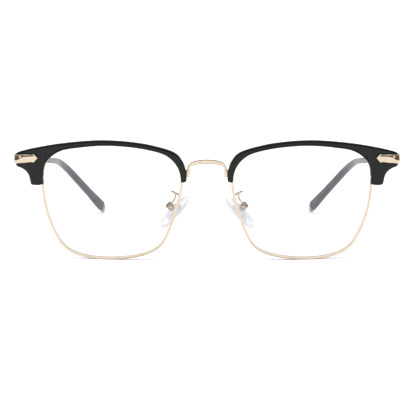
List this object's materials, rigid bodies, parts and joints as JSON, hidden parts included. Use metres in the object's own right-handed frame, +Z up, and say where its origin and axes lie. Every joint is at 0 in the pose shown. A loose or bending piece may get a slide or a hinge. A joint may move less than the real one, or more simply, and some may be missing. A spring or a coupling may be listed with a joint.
{
  "type": "half rim eyeglasses",
  "caption": "Half rim eyeglasses: black brow bars over thin gold eyewires, arched gold bridge, clear lenses, silicone nose pads, folding temples with slate tips.",
  "frame": {"origin": "on the surface that the open glasses stand on, under the middle of their overall width and depth", "axes": "+Z up, the shortest overall size; +Y back along the temples, the longest; +X to the wearer's left; the front faces -Y"},
  "size_m": [0.1426, 0.1472, 0.0441],
  "materials": {
    "gold_metal": "polished light gold plating",
    "black_plastic": "polished black",
    "slate_plastic": "polished translucent slate",
    "lens_plastic": "clear, polished and coated",
    "clear_silicone": "clear, slightly frosted"
  },
  "bodies": {
    "front": {"bridge": "gold_metal", "eyewire_left": "gold_metal", "lens_left": "lens_plastic", "brow_left": "black_plastic", "brow_screw_outer_left": "gold_metal", "brow_screw_nasal_left": "gold_metal", "arrow_plaque_left": "gold_metal", "plaque_rivet_left": "gold_metal", "rim_lock_upper_left": "gold_metal", "rim_lock_lower_left": "gold_metal", "rim_lock_screw_left": "gold_metal", "end_piece_left": "gold_metal", "hinge_leaf_front_left": "gold_metal", "hinge_screw_left": "gold_metal", "pad_arm_left": "gold_metal", "pad_box_left": "gold_metal", "pad_screw_left": "gold_metal", "eyewire_right": "gold_metal", "lens_right": "lens_plastic", "brow_right": "black_plastic", "brow_screw_outer_right": "gold_metal", "brow_screw_nasal_right": "gold_metal", "arrow_plaque_right": "gold_metal", "plaque_rivet_right": "gold_metal", "rim_lock_upper_right": "gold_metal", "rim_lock_lower_right": "gold_metal", "rim_lock_screw_right": "gold_metal", "end_piece_right": "gold_metal", "hinge_leaf_front_right": "gold_metal", "hinge_screw_right": "gold_metal", "pad_arm_right": "gold_metal", "pad_box_right": "gold_metal", "pad_screw_right": "gold_metal"},
    "temple_left": {"hinge_leaf_temple_left": "gold_metal", "temple_bar_left": "gold_metal", "temple_tip_left": "slate_plastic"},
    "pad_left": {"pad_insert_left": "clear_silicone", "nose_pad_left": "clear_silicone"},
    "temple_right": {"hinge_leaf_temple_right": "gold_metal", "temple_bar_right": "gold_metal", "temple_tip_right": "slate_plastic"},
    "pad_right": {"pad_insert_right": "clear_silicone", "nose_pad_right": "clear_silicone"}
  },
  "joints": [
    {"name": "temple_fold_left", "type": "hinge", "parent": "front", "child": "temple_left", "pos_m": [0.0657, -0.05309, 0.03652], "axis": [0, 0, 1], "range_deg": [0, 85]},
    {"name": "temple_fold_right", "type": "hinge", "parent": "front", "child": "temple_right", "pos_m": [-0.0657, -0.05309, 0.03652], "axis": [0, 0, -1], "range_deg": [0, 79]},
    {"name": "pad_rock_left", "type": "hinge", "parent": "front", "child": "pad_left", "pos_m": [0.01377, -0.05888, 0.01888], "axis": [0.1436, 0.9702, 0.195], "range_deg": [-10, 10]},
    {"name": "pad_rock_right", "type": "hinge", "parent": "front", "child": "pad_right", "pos_m": [-0.01377, -0.05888, 0.01888], "axis": [-0.1436, 0.9702, 0.195], "range_deg": [-10, 10]}
  ]
}
